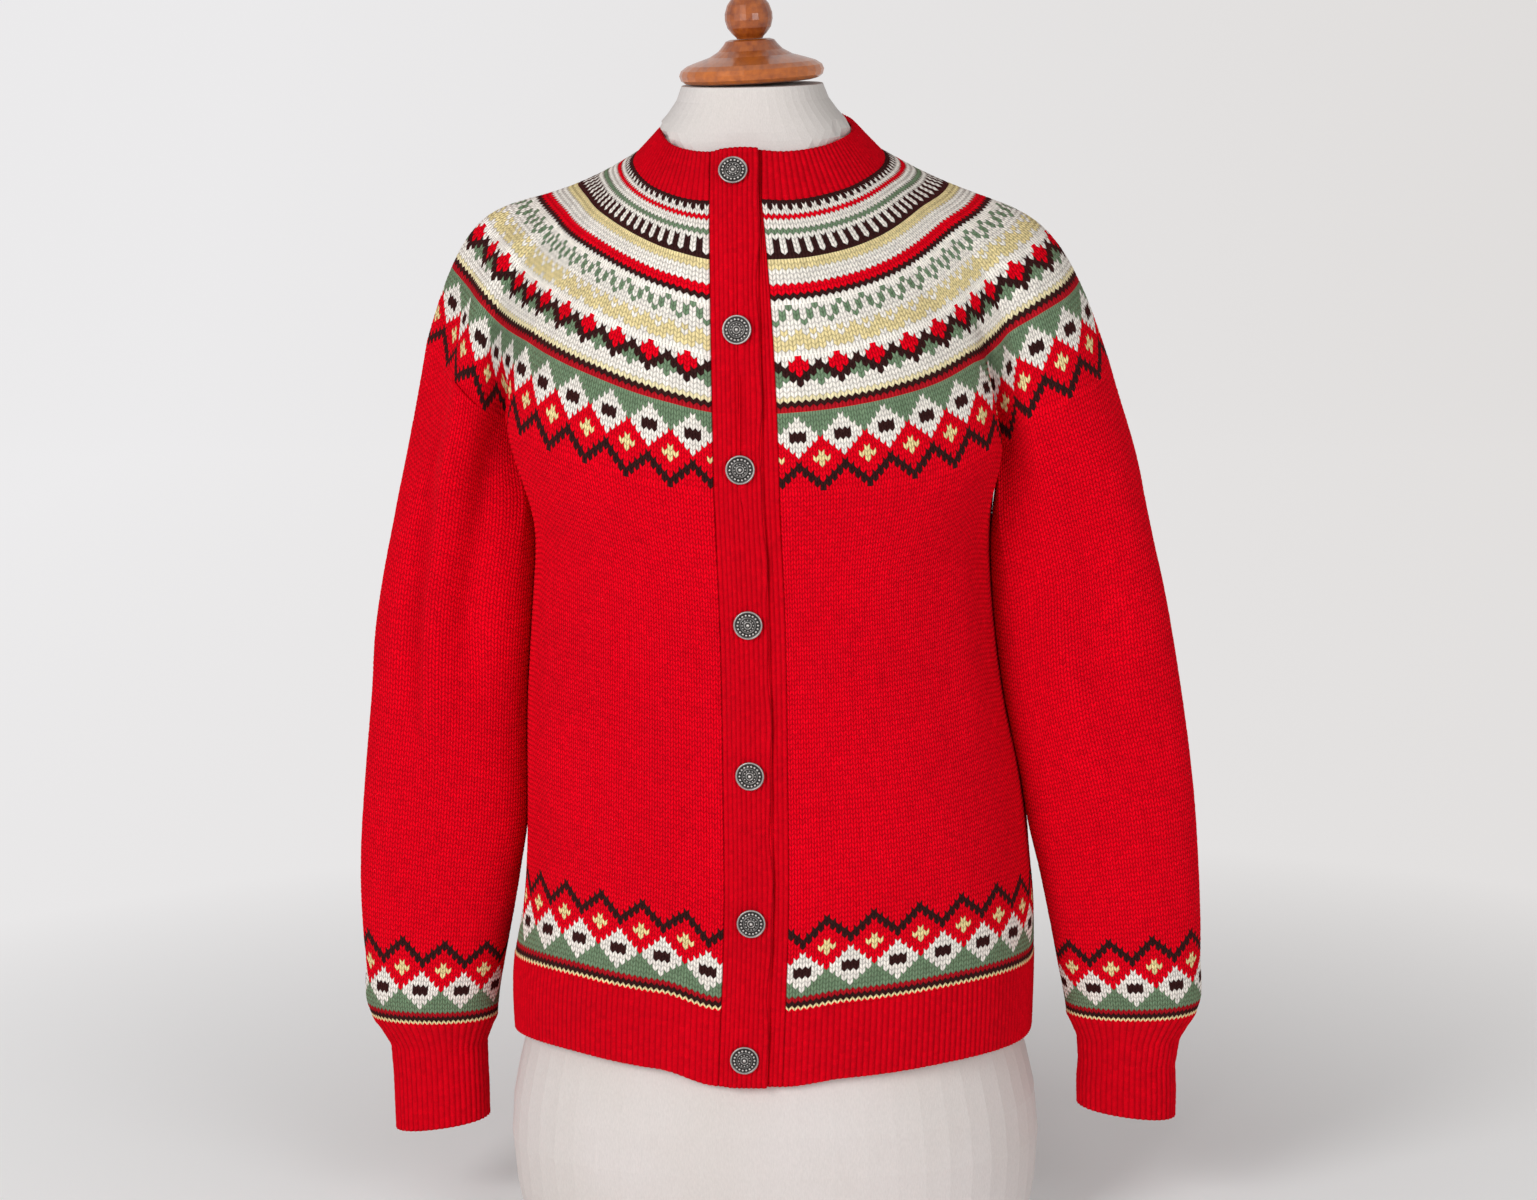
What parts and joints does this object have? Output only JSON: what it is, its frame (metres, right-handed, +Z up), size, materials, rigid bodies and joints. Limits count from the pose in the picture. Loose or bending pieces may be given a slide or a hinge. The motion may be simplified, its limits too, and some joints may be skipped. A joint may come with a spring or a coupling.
{
  "type": "cardigan on dress form",
  "caption": "Round-yoke knitted cardigan with a banded pattern, buttoned over a limbless dress form that has a flat foot, a turned wooden neck cap and a ball finial.",
  "frame": {"origin": "centre of the dress form's flat foot, on the surface it stands on", "axes": "+Z up along the form's axis, the cardigan's buttoned front faces -Y, its wearer's left is +X"},
  "size_m": [0.6091, 0.262, 0.8954],
  "materials": {
    "red_wool": "matt hand-knitted wool",
    "patterned_wool": "matt hand-knitted wool in bands of cream, red, green, yellow and dark brown",
    "pewter": "antiqued, dark in the hollows",
    "form_cloth": "smooth matt jersey",
    "varnished_wood": "gloss varnish"
  },
  "bodies": {
    "root": {"yoke": "patterned_wool", "front_left": "red_wool", "front_right": "red_wool", "back": "red_wool", "sleeve_left": "red_wool", "sleeve_right": "red_wool", "cuff_left": "red_wool", "cuff_right": "red_wool", "hem_rib": "red_wool", "neckband": "red_wool", "buttonhole_band": "red_wool", "button_band": "red_wool", "button_1": "pewter", "button_2": "pewter", "button_3": "pewter", "button_4": "pewter", "button_5": "pewter", "button_6": "pewter", "button_7": "pewter", "form_torso": "form_cloth", "form_neck_cap": "varnished_wood", "form_finial": "varnished_wood"}
  },
  "joints": []
}
